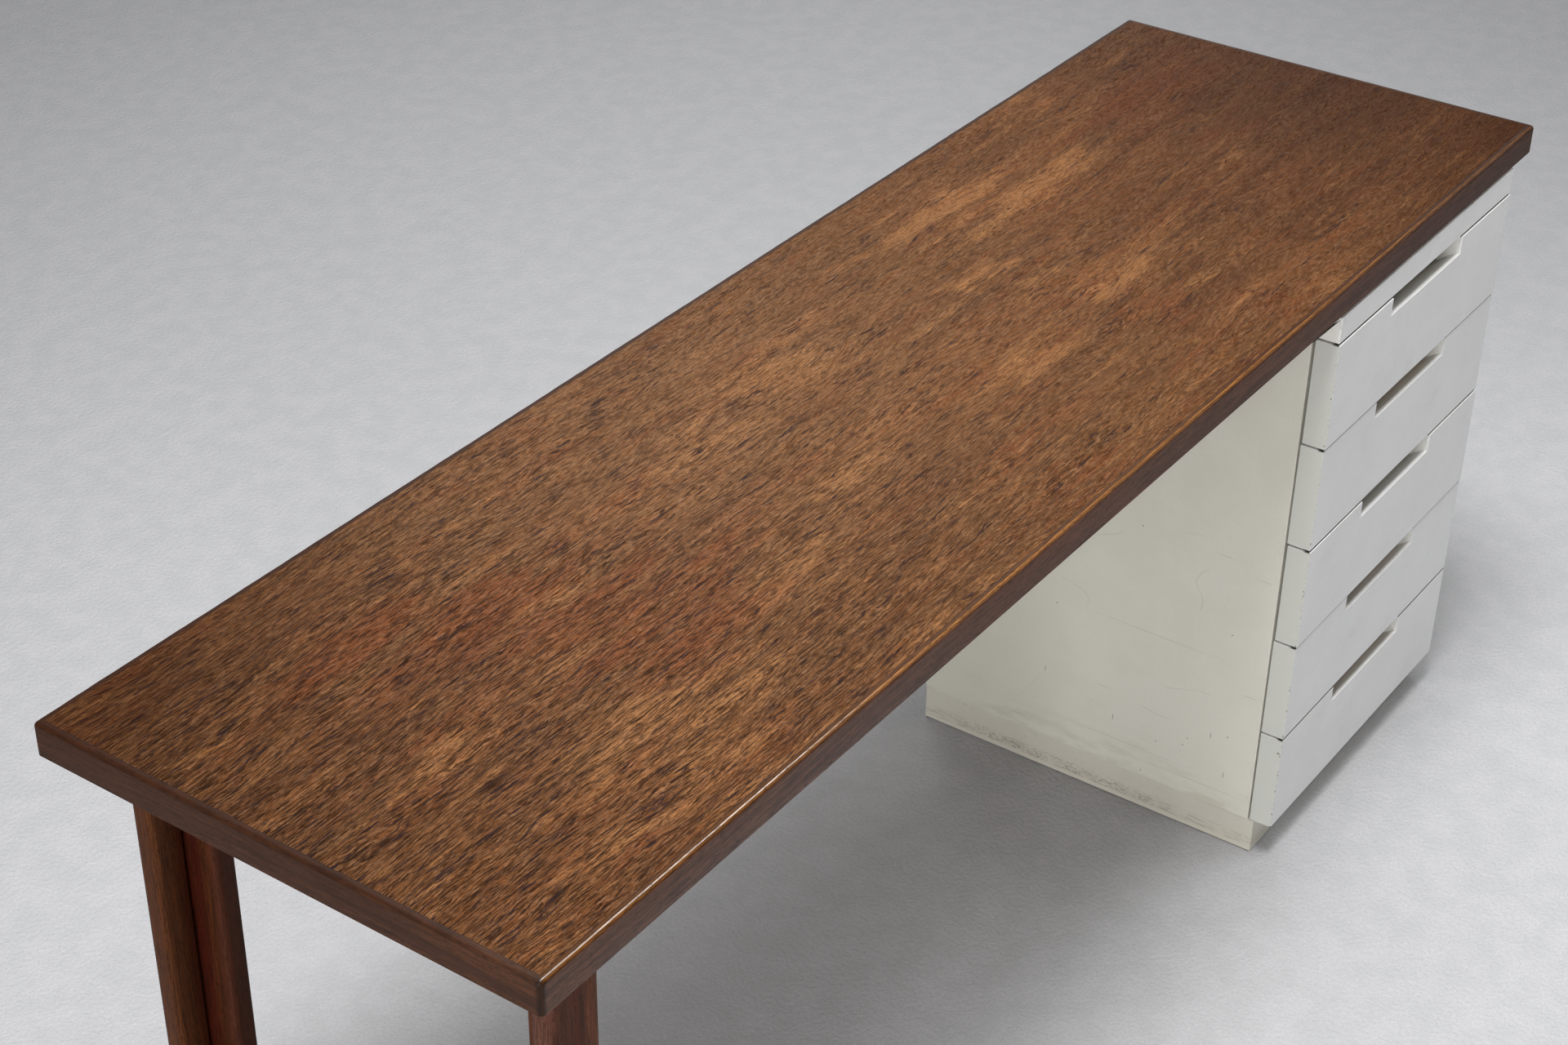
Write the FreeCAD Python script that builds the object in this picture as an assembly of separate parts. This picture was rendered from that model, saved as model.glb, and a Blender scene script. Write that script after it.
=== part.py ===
import FreeCAD, Part
import math
import os
from FreeCAD import Placement, Rotation, Vector

# Writing desk: a veneered top on two angle-section legs and a pedestal of drawers.
# Millimetres. The origin lies on the floor under the middle of the top.
# +X runs along the desk towards the pedestal, -Y is the side where one sits, +Z is up.

# Whole desk
desk_length = 1700.0
desk_depth = 500.0
desk_height = 720.0

# Tabletop
top_thickness = 32.0
veneer_thickness = 1.0
lipping_width = 7.0
top_edge_radius = 4.0
top_underside_bevel = 1.0

# Legs: two boards each, joined as an angle
leg_arm = 55.0
leg_thickness = 22.0
leg_edge_radius = 6.0
leg_end_inset = 52.0
leg_side_inset = 36.0

# Glides under the legs
glide_thickness = 3.0
glide_radius = 9.0
glide_bevel = 0.8
glide_pin_radius = 1.5
glide_pin_length = 12.0

# Corner blocks that hold the legs to the top
block_side = 30.0
block_height = 60.0
block_bevel = 8.0
block_screw_inset = 9.0
block_counterbore_radius = 6.0
block_low_screw_drop = 44.0
block_high_screw_drop = 26.0

# Pedestal carcass
pedestal_width = 420.0
pedestal_end_inset = 40.0
carcass_depth = 424.0
side_thickness = 18.0
panel_thickness = 18.0
back_thickness = 8.0
back_inset = 8.0
back_groove_depth = 6.0
carcass_edge_radius = 0.8

# Plinth
plinth_height = 44.0
plinth_thickness = 16.0
plinth_side_inset = 1.0
plinth_front_overhang = 7.0
plinth_bevel = 1.5

# Fixed strip and drawer fronts
front_thickness = 26.0
front_set_back = 1.0
front_back_gap = 2.0
front_gap = 2.0
front_floor_gap = 1.0
front_edge_radius = 1.2
strip_height = 29.0
strip_top_gap = 4.0
drawer_count = 5
drawers_ajar = (1, 3)
ajar_distance = 1.0

# Finger notch in the top edge of each drawer front
notch_width = 170.0
notch_depth = 20.0
notch_lip_radius = 10.0
notch_slope_degrees = 35.0

# Drawer boxes
box_wall = 12.0
box_rear_gap = 7.0
box_rise = 19.0
box_drop = 17.0
box_side_gap = 1.5
box_edge_radius = 1.5
bottom_thickness = 5.0
bottom_rise = 8.0
bottom_groove_depth = 6.0

# Runners on the carcass sides
runner_height = 10.0
runner_groove_depth = 6.0
runner_tip_gap = 0.5
runner_rear_gap = 20.0
running_gap = 0.3

# Screws and dowels
screw_radius = 2.5
screw_head_radius = 4.8
screw_head_height = 2.6
screw_tip_height = 4.0
screw_slot_width = 1.1
screw_slot_depth = 1.0
long_screw_length = 45.0
block_screw_grip = 25.0
panel_screw_length = 34.0
panel_screw_inset = 50.0
runner_screw_share = 0.6
runner_screw_length = 18.0
runner_screw_inset = 40.0
dowel_radius = 4.0
dowel_length = 30.0
dowel_in_face = 12.0
dowel_bevel = 1.0
dowel_inset = 40.0
strip_dowel_share = 0.25

# Fits between pieces that are glued or screwed together
fit_gap = 0.1
groove_gap = 0.2
overrun = 5.0

# Places worked out from the sizes above
half_length = desk_length / 2
half_depth = desk_depth / 2
top_underside = desk_height - top_thickness
pedestal_right = half_length - pedestal_end_inset
pedestal_left = pedestal_right - pedestal_width
pedestal_middle = (pedestal_left + pedestal_right) / 2
inner_left = pedestal_left + side_thickness
inner_right = pedestal_right - side_thickness
fronts_face = front_set_back - half_depth
fronts_back = fronts_face + front_thickness
carcass_front = fronts_back + front_back_gap
carcass_back = carcass_front + carcass_depth
back_panel_front = carcass_back - back_inset - back_thickness
strip_top = top_underside - strip_top_gap
strip_bottom = strip_top - strip_height
lowest_front = plinth_height + front_floor_gap
fronts_height = strip_bottom - lowest_front
front_height = fronts_height / drawer_count - front_gap
box_height = front_height - box_rise - box_drop
box_back = back_panel_front - box_rear_gap
box_left = inner_left + box_side_gap
box_right = inner_right - box_side_gap
runner_width = box_side_gap + runner_groove_depth - runner_tip_gap
runner_nose = fronts_back + running_gap
runner_tail = back_panel_front - runner_rear_gap


def block(x, y, z):
    """A plain box between the two values of each of x, y and z."""
    corner = Vector(x[0], y[0], z[0])
    return Part.makeBox(x[1] - x[0], y[1] - y[0], z[1] - z[0], corner)


def on_line(edge, **places):
    """True if both ends of an edge lie at each named place, such as x=0."""
    ends = [vertex.Point for vertex in edge.Vertexes]
    return all(abs(getattr(end, axis) - place) < fit_gap / 2
               for end in ends for axis, place in places.items())


def edges_at(solid, *lines):
    """The edges of a solid that lie on any of the given lines."""
    return [edge for edge in solid.Edges if any(on_line(edge, **line) for line in lines)]


def rounded(solid, radius, *lines):
    """The solid with its edges on the given lines rounded."""
    return solid.makeFillet(radius, edges_at(solid, *lines))


def outline_face(corners, height):
    """A level face at a height, from corners of (x, y, radius); a radius of 0 stays sharp."""
    count = len(corners)
    starts, ends, arcs = [], [], []
    for i, (x, y, radius) in enumerate(corners):
        here = Vector(x, y, height)
        if radius == 0:
            starts.append(here)
            ends.append(here)
            arcs.append(None)
            continue
        before = Vector(*corners[i - 1][:2], height) - here
        after = Vector(*corners[(i + 1) % count][:2], height) - here
        before.normalize()
        after.normalize()
        start = here + before * radius
        end = here + after * radius
        centre = here + (before + after) * radius
        inward = here - centre
        inward.normalize()
        starts.append(start)
        ends.append(end)
        arcs.append(Part.Arc(start, centre + inward * radius, end).toShape())
    edges = []
    for i in range(count):
        if arcs[i]:
            edges.append(arcs[i])
        after = starts[(i + 1) % count]
        edges.append(Part.LineSegment(ends[i], after).toShape())
    return Part.Face(Part.Wire(edges))


def upright(corners, low, high):
    """A board with a level outline of right-angled corners, from height low to high."""
    return outline_face(corners, low).extrude(Vector(0, 0, high - low))


def aimed(shape, start, direction):
    """A shape made along +Z from the origin, turned along a direction and set at a start."""
    turned = shape.copy()
    turned.Placement = Placement(start, Rotation(Vector(0, 0, 1), direction))
    return turned


def screw_form(length, scale, gap):
    """A countersunk screw or, with a gap, the hole for it, along +Z from its head."""
    shank = screw_radius * scale + gap
    head = screw_head_radius * scale + gap
    sink = screw_head_height * scale
    tip = screw_tip_height * scale
    form = Part.makeCone(head, shank, sink)
    form = form.fuse(Part.makeCylinder(shank, length - sink - tip, Vector(0, 0, sink)))
    form = form.fuse(Part.makeCone(shank, 0, tip, Vector(0, 0, length - tip)))
    if gap:
        return form
    slot = Part.makeBox(2 * head, screw_slot_width * scale, screw_slot_depth * scale,
                        Vector(-head, -screw_slot_width * scale / 2, 0))
    return form.cut(slot).removeSplitter()


def dowel_form(gap):
    """A bevelled dowel or, with a gap, the hole for it, along +Z from its end."""
    form = Part.makeCylinder(dowel_radius + gap, dowel_length)
    if gap:
        return form
    return form.makeChamfer(dowel_bevel, [edge for edge in form.Edges if edge.Closed])


def drilled(solid, holes):
    """The solid with the holes that reach it cut out."""
    near = [hole for hole in holes if solid.BoundBox.intersect(hole.BoundBox)]
    return solid.cut(near) if near else solid


def fasteners(places, make, *sizes):
    """The screws or dowels at places of (start, direction), and the holes for them."""
    solids = [aimed(make(*sizes, 0), start, way) for start, way in places]
    holes = [aimed(make(*sizes, fit_gap), start, way) for start, way in places]
    return solids, holes


# Every piece of the desk, by its name
pieces = {}


def add_tabletop(holes):
    """The core between two veneers, framed by four mitred lippings."""
    x = (lipping_width - half_length, half_length - lipping_width)
    y = (lipping_width - half_depth, half_depth - lipping_width)
    core_low = top_underside + veneer_thickness
    core_high = desk_height - veneer_thickness
    pieces["top_core"] = drilled(block(x, y, (core_low, core_high)), holes)
    pieces["top_veneer"] = block(x, y, (core_high, desk_height))
    pieces["top_backing_veneer"] = drilled(block(x, y, (top_underside, core_low)), holes)

    whole = block((-half_length, half_length), (-half_depth, half_depth),
                  (top_underside, desk_height))
    corners = [{"x": x_end, "y": y_end}
               for x_end in (-half_length, half_length) for y_end in (-half_depth, half_depth)]
    whole = rounded(whole, top_edge_radius, *corners)
    top_edges = [edge for edge in whole.Edges if on_line(edge, z=desk_height)]
    whole = whole.makeFillet(top_edge_radius, top_edges)
    low_edges = [edge for edge in whole.Edges if on_line(edge, z=top_underside)]
    whole = whole.makeChamfer(top_underside_bevel, low_edges)
    frame = whole.cut(block(x, y, (top_underside - overrun, desk_height + overrun)))

    reach = half_depth
    for name, along, end in (("front", 0, -1), ("back", 0, 1), ("left", 1, -1), ("right", 1, 1)):
        half_side = (half_length, half_depth)[along]
        outer = (half_depth, half_length)[along] * end
        outline = [(-half_side - overrun, outer + overrun * end),
                   (half_side + overrun, outer + overrun * end),
                   (half_side - reach, outer - reach * end),
                   (reach - half_side, outer - reach * end)]
        points = [Vector(*(point if along == 0 else point[::-1]), top_underside - overrun)
                  for point in outline]
        face = Part.Face(Part.makePolygon(points + points[:1]))
        mitre = face.extrude(Vector(0, 0, top_thickness + 2 * overrun))
        pieces["lipping_" + name] = frame.common(mitre)


def leg_corner(side):
    """The inner corner of a leg's angle; side is -1 for the front leg and 1 for the back one."""
    x = leg_end_inset - half_length + leg_arm - leg_thickness
    y = side * (half_depth - leg_side_inset - leg_thickness)
    return x, y


def leg_screw_places():
    """Two screws from each block into the leg's boards, and one up into the top."""
    places = []
    for side in (-1, 1):
        x, y = leg_corner(side)
        near = block_side - block_screw_inset
        far_x = x - block_side
        far_y = y - side * block_side
        low = top_underside - block_low_screw_drop
        high = top_underside - block_high_screw_drop
        places.append((Vector(far_x, far_y + side * near, low), Vector(1, 0, 0)))
        places.append((Vector(far_x + near, far_y, high), Vector(0, side, 0)))
        start = Vector(far_x + block_screw_inset, far_y + side * block_screw_inset,
                       top_underside - block_screw_grip)
        places.append((start, Vector(0, 0, 1)))
    return places


def glide_form():
    """A glide: a bevelled disc on the floor with a pin up into the leg."""
    disc = Part.makeCylinder(glide_radius, glide_thickness)
    rim = [edge for edge in disc.Edges if edge.Closed and on_line(edge, z=0)]
    disc = disc.makeChamfer(glide_bevel, rim)
    pin = Part.makeCylinder(glide_pin_radius, glide_pin_length, Vector(0, 0, glide_thickness))
    return disc.fuse(pin)


def add_legs(holes):
    """Both legs: a through board, a cross board against it, a block and two glides each."""
    radius = leg_edge_radius
    glides = []
    for name, side in (("front", -1), ("back", 1)):
        x, y = leg_corner(side)
        outer_x = x + leg_thickness
        outer_y = y + side * leg_thickness
        free_x = outer_x - leg_arm
        free_y = outer_y - side * leg_arm
        centres = [Vector(x + leg_thickness / 2, (outer_y + free_y) / 2, 0),
                   Vector((x + free_x) / 2, y + side * leg_thickness / 2, 0)]
        for centre in centres:
            glide = glide_form()
            glide.translate(centre)
            glides.append(glide)
        pin_depth = glide_thickness + glide_pin_length
        pin_holes = [Part.makeCylinder(glide_pin_radius + fit_gap, pin_depth + fit_gap, centre)
                     for centre in centres]
        through = upright([(x, outer_y, 0), (outer_x, outer_y, radius),
                           (outer_x, free_y, radius), (x, free_y, radius)],
                          glide_thickness, top_underside)
        cross = upright([(x, outer_y, 0), (free_x, outer_y, radius),
                         (free_x, y, radius), (x, y, radius)],
                        glide_thickness, top_underside)
        pieces["leg_%s_through_board" % name] = drilled(through, holes + pin_holes)
        pieces["leg_%s_cross_board" % name] = drilled(cross, holes + pin_holes)

        far_x = x - block_side
        far_y = y - side * block_side
        low = top_underside - block_height
        corner_block = upright([(far_x, y, 0), (x, y, 0), (x, far_y, 0), (far_x, far_y, 0)],
                               low, top_underside)
        free_edge = edges_at(corner_block, {"x": far_x, "y": far_y})
        corner_block = corner_block.makeChamfer(block_bevel, free_edge)
        bore = Vector(far_x + block_screw_inset, far_y + side * block_screw_inset, low)
        counterbore = Part.makeCylinder(block_counterbore_radius,
                                        block_height - block_screw_grip, bore)
        pieces["leg_%s_corner_block" % name] = drilled(corner_block, holes + [counterbore])
    pieces["leg_glides"] = Part.Compound(glides)


def pedestal_screw_places():
    """Four screws up through the pedestal's top panel into the tabletop."""
    places = []
    for x in (inner_left + panel_screw_inset, inner_right - panel_screw_inset):
        for y in (carcass_front + panel_screw_inset, back_panel_front - panel_screw_inset):
            places.append((Vector(x, y, top_underside - panel_thickness), Vector(0, 0, 1)))
    return places


def dowel_places():
    """Three dowels in each joint of a panel and a side, and two behind each end of the strip."""
    places = []
    rear = back_panel_front - dowel_inset
    front = carcass_front + dowel_inset
    strip_dowel_rise = strip_height * strip_dowel_share
    for z in (plinth_height + panel_thickness / 2, top_underside - panel_thickness / 2):
        for y in (front, (front + rear) / 2, rear):
            places.append((Vector(inner_left - dowel_in_face, y, z), Vector(1, 0, 0)))
            places.append((Vector(inner_right + dowel_in_face, y, z), Vector(-1, 0, 0)))
    for x in (pedestal_left + side_thickness / 2, pedestal_right - side_thickness / 2):
        for z in (strip_bottom + strip_dowel_rise, strip_top - strip_dowel_rise):
            places.append((Vector(x, carcass_front - dowel_in_face, z), Vector(0, 1, 0)))
    return places


def runner_screw_places():
    """Two screws through each runner into the carcass side."""
    places = []
    for number in range(1, drawer_count + 1):
        z = runner_middle(number)
        for y in (runner_nose + runner_screw_inset, runner_tail - runner_screw_inset):
            places.append((Vector(inner_left + runner_width, y, z), Vector(-1, 0, 0)))
            places.append((Vector(inner_right - runner_width, y, z), Vector(1, 0, 0)))
    return places


def front_bottom(number):
    """Height of the lower edge of a drawer front; drawer 1 is the top one."""
    return lowest_front + (drawer_count - number) * (front_height + front_gap)


def runner_middle(number):
    """Height of the middle of a drawer's runners."""
    return front_bottom(number) + box_rise + box_height / 2


def add_carcass(holes):
    """Two sides, a top and a bottom panel between them, and a back panel in grooves."""
    y = (carcass_front, carcass_back)
    z = (plinth_height, top_underside)
    high = (top_underside - panel_thickness, top_underside)
    low = (plinth_height, plinth_height + panel_thickness)
    groove = block((inner_left - back_groove_depth, inner_right + back_groove_depth),
                   (back_panel_front - groove_gap, back_panel_front + back_thickness + groove_gap),
                   (low[1] - back_groove_depth, high[0] + back_groove_depth))
    boards = {"pedestal_left_side": block((pedestal_left, inner_left), y, z),
              "pedestal_right_side": block((inner_right, pedestal_right), y, z),
              "pedestal_top_panel": block((inner_left, inner_right), y, high),
              "pedestal_bottom_panel": block((inner_left, inner_right), y, low)}
    for name, x in (("pedestal_left_side", pedestal_left), ("pedestal_right_side", pedestal_right)):
        boards[name] = rounded(boards[name], carcass_edge_radius,
                               {"x": x, "y": y[0]}, {"x": x, "y": y[1]}, {"x": x, "z": z[0]})
    for name, board in boards.items():
        pieces[name] = drilled(board.cut(groove), holes)
    reach = back_groove_depth - groove_gap
    pieces["pedestal_back_panel"] = block((inner_left - reach, inner_right + reach),
                                          (back_panel_front, back_panel_front + back_thickness),
                                          (low[1] - reach, high[0] + reach))


def add_plinth():
    """Four boards under the carcass, a little behind its sides, with a bevel along the floor."""
    left = pedestal_left + plinth_side_inset
    right = pedestal_right - plinth_side_inset
    front = carcass_front - plinth_front_overhang
    back = carcass_back - plinth_side_inset
    z = (0, plinth_height)
    whole = block((left, right), (front, back), z)
    floor_edges = edges_at(whole, {"x": left, "z": 0}, {"x": right, "z": 0},
                           {"y": front, "z": 0}, {"y": back, "z": 0})
    whole = whole.makeChamfer(plinth_bevel, floor_edges)
    inside = ((left + plinth_thickness, right - plinth_thickness),
              (front + plinth_thickness, back - plinth_thickness))
    ring = whole.cut(block(*inside, (-overrun, plinth_height + overrun)))
    full_x = (left - overrun, right + overrun)
    tall = (-overrun, plinth_height + overrun)
    pieces["plinth_front"] = ring.common(block(full_x, (front - overrun, inside[1][0]), tall))
    pieces["plinth_back"] = ring.common(block(full_x, (inside[1][1], back + overrun), tall))
    pieces["plinth_left"] = ring.common(block((full_x[0], inside[0][0]), inside[1], tall))
    pieces["plinth_right"] = ring.common(block((inside[0][1], full_x[1]), inside[1], tall))


def front_board(face, back, low, high):
    """A full-width white front with its face edges softened."""
    board = block((pedestal_left, pedestal_right), (face, back), (low, high))
    return rounded(board, front_edge_radius,
                   {"y": face, "x": pedestal_left}, {"y": face, "x": pedestal_right},
                   {"y": face, "z": low}, {"y": face, "z": high})


def notch_form(face, high):
    """The space of a finger notch: level over a rounded lip, then falling towards the back."""
    lip = high - notch_depth
    behind = face + front_thickness + overrun
    slope = math.radians(notch_slope_degrees)
    centre = Vector(0, face, lip - notch_lip_radius)

    def on_bend(angle):
        return centre + Vector(0, math.sin(angle), math.cos(angle)) * notch_lip_radius

    bend_start = on_bend(0)
    bend_end = on_bend(slope)
    fall = (behind - bend_end.y) * math.tan(slope)
    slope_end = Vector(0, behind, bend_end.z - fall)
    outer_low = Vector(0, face - overrun, lip)
    outer_high = Vector(0, face - overrun, high + overrun)
    back_high = Vector(0, behind, high + overrun)
    edges = [Part.LineSegment(outer_low, bend_start).toShape(),
             Part.Arc(bend_start, on_bend(slope / 2), bend_end).toShape(),
             Part.LineSegment(bend_end, slope_end).toShape(),
             Part.LineSegment(slope_end, back_high).toShape(),
             Part.LineSegment(back_high, outer_high).toShape(),
             Part.LineSegment(outer_high, outer_low).toShape()]
    profile = Part.Face(Part.Wire(edges))
    profile.translate(Vector(pedestal_middle - notch_width / 2, 0, 0))
    return profile.extrude(Vector(notch_width, 0, 0))


def add_strip(holes):
    """The fixed strip over the drawers, seated on the carcass's front edges."""
    strip = front_board(fronts_face, carcass_front, strip_bottom, strip_top)
    pieces["pedestal_top_strip"] = drilled(strip, holes)


def add_drawer(number):
    """One drawer: an overlay front with its notch, and a box of five boards behind it."""
    ajar = ajar_distance if number in drawers_ajar else 0
    low = front_bottom(number)
    high = low + front_height
    front = front_board(fronts_face, fronts_back, low, high)
    front = front.cut(notch_form(fronts_face, high))

    box_low = low + box_rise
    box_high = box_low + box_height
    left_inside = box_left + box_wall
    right_inside = box_right - box_wall
    y = (fronts_back, box_back)
    z = (box_low, box_high)
    bottom_low = box_low + bottom_rise
    bottom_high = bottom_low + bottom_thickness
    groove = block((left_inside - bottom_groove_depth, right_inside + bottom_groove_depth),
                   (fronts_back + box_wall - bottom_groove_depth, box_back + overrun),
                   (bottom_low - groove_gap, bottom_high + groove_gap))
    reach = bottom_groove_depth - groove_gap
    middle = runner_middle(number)
    half_groove = runner_height / 2 + running_gap
    run = (fronts_back - overrun, box_back + overrun)
    runner_z = (middle - half_groove, middle + half_groove)
    left_run = block((box_left - overrun, box_left + runner_groove_depth), run, runner_z)
    right_run = block((box_right - runner_groove_depth, box_right + overrun), run, runner_z)

    left = block((box_left, left_inside), y, z)
    left = rounded(left, box_edge_radius,
                   {"x": box_left, "z": box_high}, {"x": left_inside, "z": box_high})
    right = block((right_inside, box_right), y, z)
    right = rounded(right, box_edge_radius,
                    {"x": box_right, "z": box_high}, {"x": right_inside, "z": box_high})
    inside_x = (left_inside, right_inside)
    box_front = block(inside_x, (fronts_back, fronts_back + box_wall), z)
    box_rear = block(inside_x, (box_back - box_wall, box_back), (bottom_high, box_high))
    bottom = block((left_inside - reach, right_inside + reach),
                   (fronts_back + box_wall - reach, box_back),
                   (bottom_low, bottom_high))
    boards = {"front": front,
              "box_front": box_front.cut(groove),
              "left_side": left.cut(groove).cut(left_run),
              "right_side": right.cut(groove).cut(right_run),
              "back": box_rear,
              "bottom": bottom}
    for name, board in boards.items():
        board.translate(Vector(0, -ajar, 0))
        pieces["drawer_%d_%s" % (number, name)] = board


def add_runners(holes):
    """A hardwood runner on each side for every drawer."""
    y = (runner_nose, runner_tail)
    sides = {"left": [], "right": []}
    for number in range(1, drawer_count + 1):
        middle = runner_middle(number)
        z = (middle - runner_height / 2, middle + runner_height / 2)
        left = block((inner_left, inner_left + runner_width), y, z)
        right = block((inner_right - runner_width, inner_right), y, z)
        sides["left"].append(drilled(left, holes))
        sides["right"].append(drilled(right, holes))
    for side, runners in sides.items():
        pieces["runners_" + side] = Part.Compound(runners)


leg_screws, leg_holes = fasteners(leg_screw_places(), screw_form, long_screw_length, 1)
pedestal_screws, pedestal_holes = fasteners(
    pedestal_screw_places(), screw_form, panel_screw_length, 1)
runner_screws, runner_holes = fasteners(
    runner_screw_places(), screw_form, runner_screw_length, runner_screw_share)
dowels, dowel_holes = fasteners(dowel_places(), dowel_form)

add_tabletop(leg_holes + pedestal_holes)
add_legs(leg_holes)
add_carcass(dowel_holes + pedestal_holes + runner_holes)
add_plinth()
add_strip(dowel_holes)
for drawer in range(1, drawer_count + 1):
    add_drawer(drawer)
add_runners(runner_holes)
pieces["leg_block_screws"] = Part.Compound(leg_screws)
pieces["pedestal_top_screws"] = Part.Compound(pedestal_screws)
pieces["runner_screws"] = Part.Compound(runner_screws)
pieces["carcass_dowels"] = Part.Compound(dowels)

os.makedirs("parts", exist_ok=True)
for name, piece in pieces.items():
    piece.exportStep("parts/%s.step" % name)
    print(name, len(piece.Solids), piece.isValid(), round(piece.Volume))
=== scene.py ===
import math

import bmesh
import bpy
import numpy as np
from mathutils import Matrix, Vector


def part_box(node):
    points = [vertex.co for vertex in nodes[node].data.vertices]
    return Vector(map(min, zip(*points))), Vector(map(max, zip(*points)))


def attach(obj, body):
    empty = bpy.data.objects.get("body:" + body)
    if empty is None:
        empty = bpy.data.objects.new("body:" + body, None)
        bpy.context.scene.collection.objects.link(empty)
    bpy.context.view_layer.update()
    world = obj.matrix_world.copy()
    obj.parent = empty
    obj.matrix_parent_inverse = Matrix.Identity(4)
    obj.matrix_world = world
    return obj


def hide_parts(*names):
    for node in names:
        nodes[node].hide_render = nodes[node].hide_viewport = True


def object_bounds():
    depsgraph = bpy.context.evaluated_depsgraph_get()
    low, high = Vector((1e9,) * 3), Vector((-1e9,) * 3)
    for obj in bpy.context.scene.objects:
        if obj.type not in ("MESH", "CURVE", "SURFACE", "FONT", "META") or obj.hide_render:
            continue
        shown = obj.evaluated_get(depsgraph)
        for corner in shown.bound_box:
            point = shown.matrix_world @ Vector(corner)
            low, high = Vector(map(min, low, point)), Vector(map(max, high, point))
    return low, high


# Writing desk: a teak top on two angle legs and a white lacquered pedestal of five drawers.
# Metres, in the frame of the model: +X towards the pedestal, -Y the sitter's side, +Z up.

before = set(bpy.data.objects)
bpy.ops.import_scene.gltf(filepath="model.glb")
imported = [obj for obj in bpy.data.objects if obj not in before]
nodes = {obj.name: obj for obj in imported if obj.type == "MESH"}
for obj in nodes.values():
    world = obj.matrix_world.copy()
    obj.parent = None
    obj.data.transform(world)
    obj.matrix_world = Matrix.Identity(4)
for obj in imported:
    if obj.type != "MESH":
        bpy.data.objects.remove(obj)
cad_bounds = [list(corner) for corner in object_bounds()]

# Sizes of what is modelled here, in metres; the rest is read from the frame
mm = 0.001
lipping_width = 7 * mm
top_edge_radius = 4 * mm
top_underside_bevel = 1 * mm
top_edge_wear = 0.12 * mm
lipping_step = 2 * mm
leg_edge_radius = 6 * mm
leg_end_easing = 0.6 * mm
leg_end_length = 10 * mm
leg_face_wander = 0.03 * mm
front_easing = 1.3 * mm
strip_easing = 1.0 * mm
notch_width = 170 * mm
notch_depth = 20 * mm
notch_lip_radius = 10 * mm
notch_slope = math.radians(35)
sharp_angle = math.radians(30)
drawer_count = 5
background = "#a6a6a6"

# Places that the sizes above and the frame give, in metres
desk_high = Vector(cad_bounds[1])
veneer_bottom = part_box("lipping_front")[0].z
pedestal_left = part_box("pedestal_left_side")[0].x
pedestal_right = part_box("pedestal_right_side")[1].x
fronts_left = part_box("drawer_1_front")[0].x
fronts_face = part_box("drawer_2_front")[0].y
front_tops = [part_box("drawer_%d_front" % number)[1].z for number in range(1, drawer_count + 1)]
box_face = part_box("drawer_1_box_front")[0].y


# Meshes

def mesh_object(name, points, quads):
    """A piece from points and four-cornered faces: welded, closed, outward and smooth between edges
    that are sharper than the sharp angle."""
    mesh = bpy.data.meshes.new(name)
    mesh.from_pydata(points.reshape(-1, 3).tolist(), [], quads.tolist())
    form = bmesh.new()
    form.from_mesh(mesh)
    bmesh.ops.remove_doubles(form, verts=form.verts, dist=1e-6)
    bmesh.ops.dissolve_degenerate(form, edges=form.edges, dist=1e-6)
    bmesh.ops.holes_fill(form, edges=[edge for edge in form.edges if edge.is_boundary])
    bmesh.ops.recalc_face_normals(form, faces=form.faces)
    form.to_mesh(mesh)
    form.free()
    mesh.polygons.foreach_set("use_smooth", np.ones(len(mesh.polygons), bool))
    mesh.set_sharp_from_angle(angle=sharp_angle)
    piece = bpy.data.objects.new(name, mesh)
    bpy.context.scene.collection.objects.link(piece)
    return piece


def carried(name, sections):
    """A closed profile carried along a path: sections is an array of [station, profile point, xyz]."""
    stations, ring = sections.shape[:2]
    first = np.arange(stations - 1)[:, None] * ring + np.arange(ring)[None, :]
    after = np.arange(stations - 1)[:, None] * ring + np.roll(np.arange(ring), -1)[None, :]
    quads = np.stack([first, after, after + ring, first + ring], -1).reshape(-1, 4)
    return mesh_object(name, sections, quads)


def wander(along, seed, lengths):
    """A slow wave between -1 and 1 that looks random: a sum of sines of the given lengths, each with
    a seeded phase."""
    phases = np.random.default_rng(seed).uniform(0, 2 * np.pi, len(lengths))
    waves = [np.sin(2 * np.pi * along / length + phase) for length, phase in zip(lengths, phases)]
    return np.sum(waves, 0) / len(lengths)


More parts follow.
